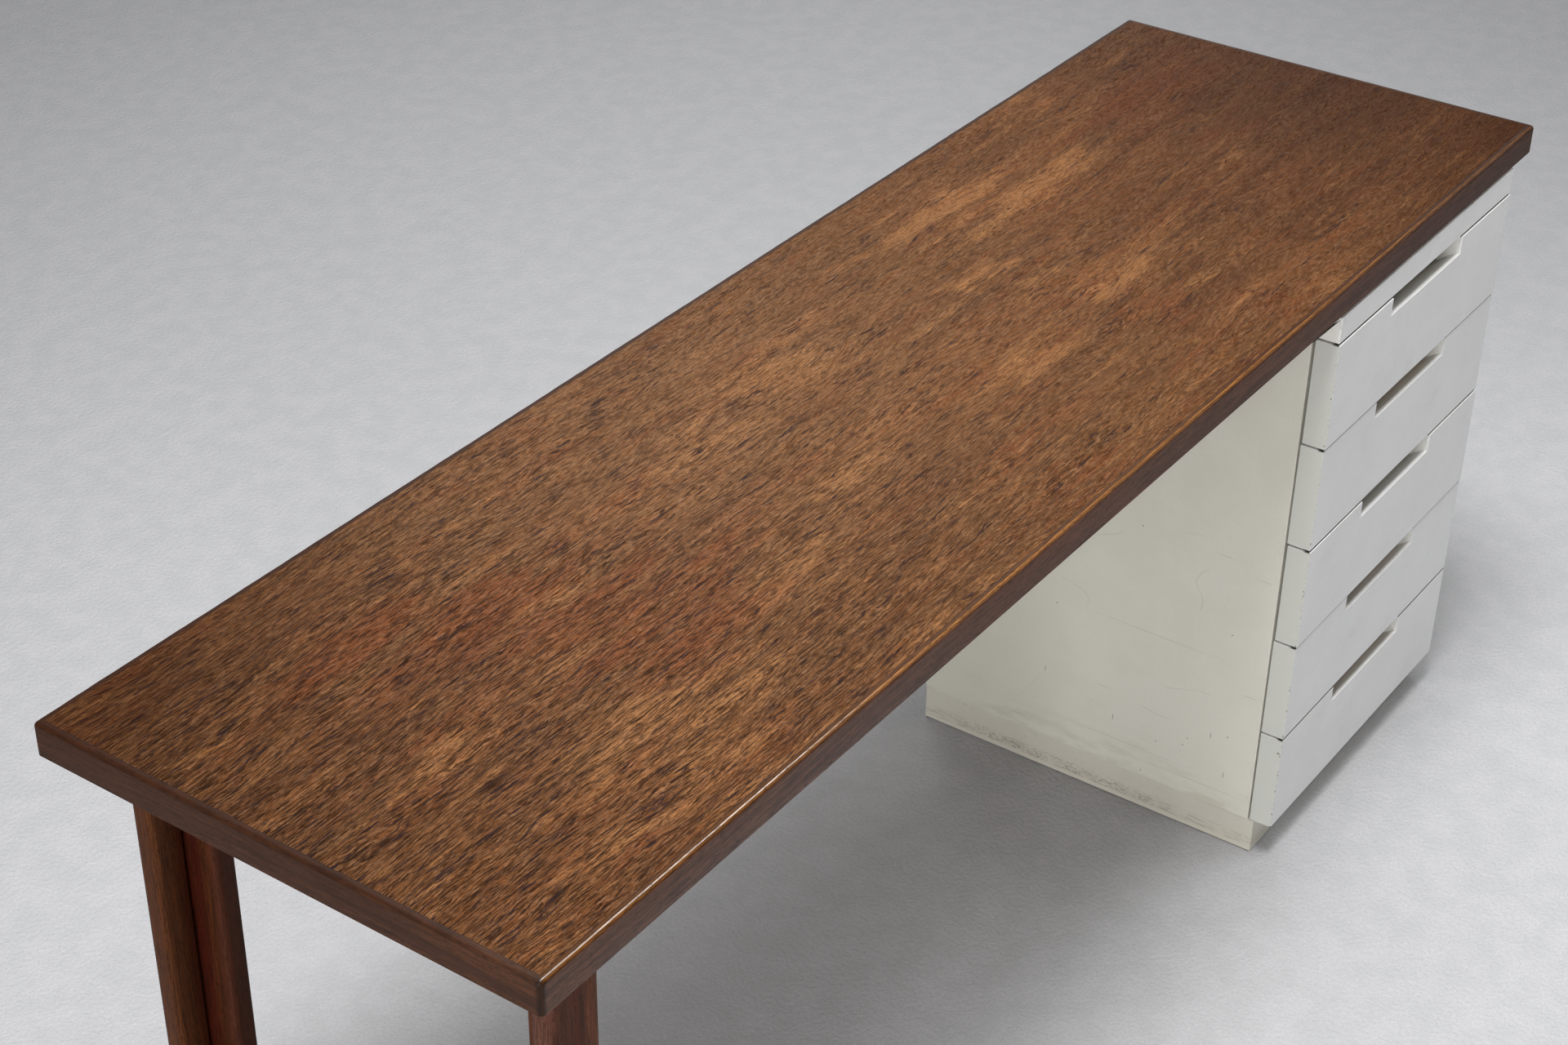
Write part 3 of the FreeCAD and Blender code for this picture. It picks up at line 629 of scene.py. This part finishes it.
# The tabletop's lippings. A look is a base colour, gloss, shine and features, from the edges in mm
right, back, top = desk_high / mm
left, front = -right, -back
rolled, on_top = ("Z", top - 4.5, top - 1.5), ("Z", top - 1.5, top - 0.3)
# Painted light: the lower bevel of each lipping is laid lighter, as if lit by the floor
painted_light_on_lower_edge = ((("Z", top - 30.6, top - 31.4),), None, "#8a6a58", 0.6)
glue_line, corner_grime = "#150b06", "#190d07"
lipping_looks = {
    "front": ("#624335", 0.16, 0.2, (
        ((rolled,), None, "#4a2f20", 0.85),
        ((on_top,), None, "#503219", 0.8),
        ((rolled, ("X", 60, 200)), None, "#42210a", 0.8),
        ((rolled, ("X", 400, 700)), None, "#341b0a", 0.8),
        ((("Y", front + 2.7, front + 2.2), ("Y", front + 0.5, front + 1.2)), None, "#70461a", 0.7),
        # A painted highlight along the top of the front roll: a near-white thin line towards the left
        # corner, going over into a dimmer golden line towards the right
        ((("Y", front + 3.5, front + 3.1), ("Y", front + 2.2, front + 2.7), ("X", -300, -560)),
         None, "#ecdccf", 0.5),
        ((("Y", front + 3.8, front + 3.3), ("Y", front + 1.8, front + 2.4), ("X", -560, -400)),
         None, "#8e5e2c", 0.8),
        ((("X", 100, 800),), None, "#41302a", 0.6),
        ((("X", left + 7, left + 2.5),), None, corner_grime, 0.75),
        ((on_top, ("Y", front + 6.1, front + 6.8)), None, glue_line, 0.8), painted_light_on_lower_edge)),
    "back": ("#3c2419", 0.15, 0.5, (
        ((rolled,), None, "#341b0c", 0.9),
        ((on_top, ("Y", back - 6.1, back - 6.8)), None, glue_line, 0.8), painted_light_on_lower_edge)),
    "left": ("#412719", 0.15, 0.5, (
        ((rolled,), None, "#341b0c", 0.9),
        ((rolled, ("Y", -60, -220)), None, "#452a1a", 0.7),
        ((rolled,), (30, 30, 30), "#241108", 0.5),
        ((("Y", front + 7, front + 2.5),), None, corner_grime, 0.75),
        ((on_top, ("X", left + 6.1, left + 6.8)), None, glue_line, 0.8), painted_light_on_lower_edge)),
    "right": ("#452e23", 0.2, 0.45, (
        ((rolled,), None, "#3a200f", 0.9),
        ((on_top, ("X", right - 6.1, right - 6.8)), None, glue_line, 0.8), painted_light_on_lower_edge)),
}
lipping_turns = {"front": -90, "back": 90, "left": 180, "right": 0}
for index, side in enumerate(lipping_looks):
    lengthwise = side in ("front", "back")
    half_side, reach = (desk_high.x, desk_high.y) if lengthwise else (desk_high.y, desk_high.x)
    piece = lipping("lipping_%s_shaped" % side, lipping_turns[side], half_side, reach, index + 1)
    tone, gloss, shine, features = lipping_looks[side]
    dulled = ("X", -560, -240) if side == "front" else None
    coat(piece, solid_teak("teak_lipping_" + side, "X" if lengthwise else "Y", tone,
                           20.0 + 7 * index, gloss, shine, features, dulled))
    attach(piece, "desk")
    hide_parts("lipping_" + side)

# The legs. A look is a base colour and bands of another tone across a board's faces
leg_looks = {
    "leg_back_through_board": ("#4b2610", (((("Y", 172, 184),), None, "#3a100b", 0.85),
                                           ((("Y", 172, 163),), None, "#52291a", 0.7),
                                           ((("Y", 165, 159),), None, "#2b160c", 0.6))),
    "leg_back_cross_board": ("#4e2a14", (((("X", -782, -772),), None, "#3c160c", 0.7),
                                         ((("X", -790, -797),), None, "#563018", 0.6))),
    "leg_front_through_board": ("#6f3d20", (((("X", -752, -744),), None, "#74452a", 0.6),
                                            ((("X", -757, -764),), None, "#3a190c", 0.6))),
    "leg_front_cross_board": ("#5a301b", (((("X", -790, -797),), None, "#64443a", 0.6),
                                          ((("X", -776, -770),), None, "#602b10", 0.7),
                                          ((("X", -770, -765.5),), None, "#3a190c", 0.6))),
}
for side, outer in (("front", -1), ("back", 1)):
    through_low, through_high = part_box("leg_%s_through_board" % side)
    outer_y = through_high.y if outer > 0 else through_low.y
    for index, board in enumerate(("through", "cross")):
        name = "leg_%s_%s_board" % (side, board)
        tone, features = leg_looks[name]
        piece = leg_board(name, through_low.x, outer_y, index + outer + 5)
        shift = 50.0 + 9 * index + 20 * outer
        coat(piece, solid_teak("teak_" + name, "Z", tone, shift, 0.07, 0.42, features))
        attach(piece, "desk")
        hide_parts(name)

# The lacquered fronts and the strip over them
fronts_white = lacquer("fronts_lacquer", "#e0e0df", "#d6d6d4", 0.42, marks_of_the_fronts)
for number in range(1, drawer_count + 1):
    name = "drawer_%d_front" % number
    piece = front_board(name, front_easing, True)
    coat(piece, fronts_white)
    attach(piece, "drawer_%d" % number)
    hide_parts(name)
strip = front_board("pedestal_top_strip", strip_easing, False)
coat(strip, fronts_white)
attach(strip, "desk")
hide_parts("pedestal_top_strip")

# The pieces that keep their own mesh
carcass_white = lacquer("carcass_lacquer", "#dfddd1", "#d5d2c4", 0.42, marks_of_the_carcass)
plinth_white = lacquer("plinth_lacquer", "#d3cfc2", "#c9c4b6", 0.5, marks_of_the_plinth)
beech_x = plain_wood("beech_x", "X", "#bea682", "#9a7e5a", 3.0)
beech_y = plain_wood("beech_y", "Y", "#bea682", "#9a7e5a", 8.0)
stained_beech = plain_wood("stained_beech", "Z", "#704a2b", "#4c301b", 13.0)
lacquered_face = (("Y", box_face / mm + 0.8, box_face / mm + 0.3), "#b3afa5")
box_front = plain_wood("beech_with_lacquered_face", "X", "#bea682", "#9a7e5a", 5.0, (lacquered_face,))
plywood = plain_wood("birch_plywood", "X", "#baa07a", "#9c7d54", 17.0)
backing = plain_wood("backing_veneer", "X", "#8a6444", "#6b4a30", 21.0)
screw_steel = zinc_steel()
finishes = {"top_veneer": teak_veneer(), "top_backing_veneer": backing, "top_core": beech_x,
            "leg_glides": polythene(), "leg_block_screws": screw_steel,
            "pedestal_top_screws": screw_steel, "runner_screws": screw_steel,
            "carcass_dowels": beech_y}
for name in nodes:
    if name in finishes:
        continue
    if name.startswith("plinth"):
        finishes[name] = plinth_white
    elif name.startswith("pedestal"):
        finishes[name] = carcass_white
    elif name.endswith("_bottom"):
        finishes[name] = plywood
    elif name.endswith("_box_front"):
        finishes[name] = box_front
    elif name.startswith("drawer") and name.endswith("_back"):
        finishes[name] = beech_x
    elif name.startswith("drawer") or name.startswith("runners"):
        finishes[name] = beech_y
    elif name.endswith("corner_block"):
        finishes[name] = stained_beech
for name, material in finishes.items():
    coat(nodes[name], material)

# The floor
floor_half = 14.0
corners = [(-floor_half, -floor_half, 0), (floor_half, -floor_half, 0),
           (floor_half, floor_half, 0), (-floor_half, floor_half, 0)]
floor_mesh = bpy.data.meshes.new("floor")
floor_mesh.from_pydata(corners, [], [(0, 1, 2, 3)])
floor = bpy.data.objects.new("floor", floor_mesh)
bpy.context.scene.collection.objects.link(floor)
coat(floor, paper_floor())


# The lights: soft boxes of a size in metres and a power in watts, each facing a target

def softbox(name, place, target, size, power):
    """A rectangular area light that faces a target."""
    light = bpy.data.lights.new(name, "AREA")
    light.shape = "RECTANGLE"
    light.size, light.size_y = size
    light.energy = power
    lamp = bpy.data.objects.new(name, light)
    lamp.location = place
    lamp.rotation_euler = (Vector(target) - Vector(place)).to_track_quat("-Z", "Y").to_euler()
    bpy.context.scene.collection.objects.link(lamp)


desk_middle = (0.0, 0.0, 0.3)
softbox("high_softbox", (-0.68, -0.3, 4.2), desk_middle, (1.2, 1.2), 138)
softbox("overhead_softbox", (0.0, 0.0, 3.0), desk_middle, (1.5, 1.5), 40)
softbox("left_softbox", (-3.5, -1.5, 1.6), desk_middle, (1.5, 1.5), 61)
softbox("low_left_softbox", (-4.0, 0.0, 1.2), desk_middle, (1.2, 1.2), 43)
softbox("back_softbox", (2.2, 2.2, 2.6), desk_middle, (1.2, 1.2), 21.5)
softbox("right_softbox", (3.5, 1.5, 1.6), desk_middle, (1.5, 1.5), 9)
softbox("front_right_softbox", (1.6, -1.2, 1.8), desk_middle, (1.2, 1.2), 9)
softbox("front_softbox", (0.7, -6.0, 2.0), desk_middle, (1.5, 1.5), 33)
softbox("strip_softbox", (0.73, -0.75, 2.4), (0.65, -0.4, 0.4), (0.85, 0.25), 7.5)

# The world: the camera sees the plain background, and the pieces get a dim even light
world = bpy.data.worlds.new("studio")
bpy.context.scene.world = world
world.use_nodes = True
by_camera = add(world.node_tree, "LightPath").outputs["Is Camera Ray"]
shown = add(world.node_tree, "Mix", {0: by_camera, 6: rgb("#151515"), 7: rgb(background)},
            data_type="RGBA").outputs[2]
world.node_tree.links.new(shown, world.node_tree.nodes["Background"].inputs["Color"])
bpy.context.scene.view_settings.view_transform = "Standard"

# The camera, solved from the corners of the desk in the photo
camera_data = bpy.data.cameras.new("camera")
camera_data.lens = 64.0
camera_data.sensor_width = 36.0
camera_data.shift_x = 0.0435
camera_data.shift_y = 0.0430
camera = bpy.data.objects.new("camera", camera_data)
camera.location = (-1.9152, -1.1764, 1.9937)
camera.rotation_euler = [math.radians(turn) for turn in (55.90, 0.01, -53.79)]
bpy.context.scene.collection.objects.link(camera)
bpy.context.scene.camera = camera
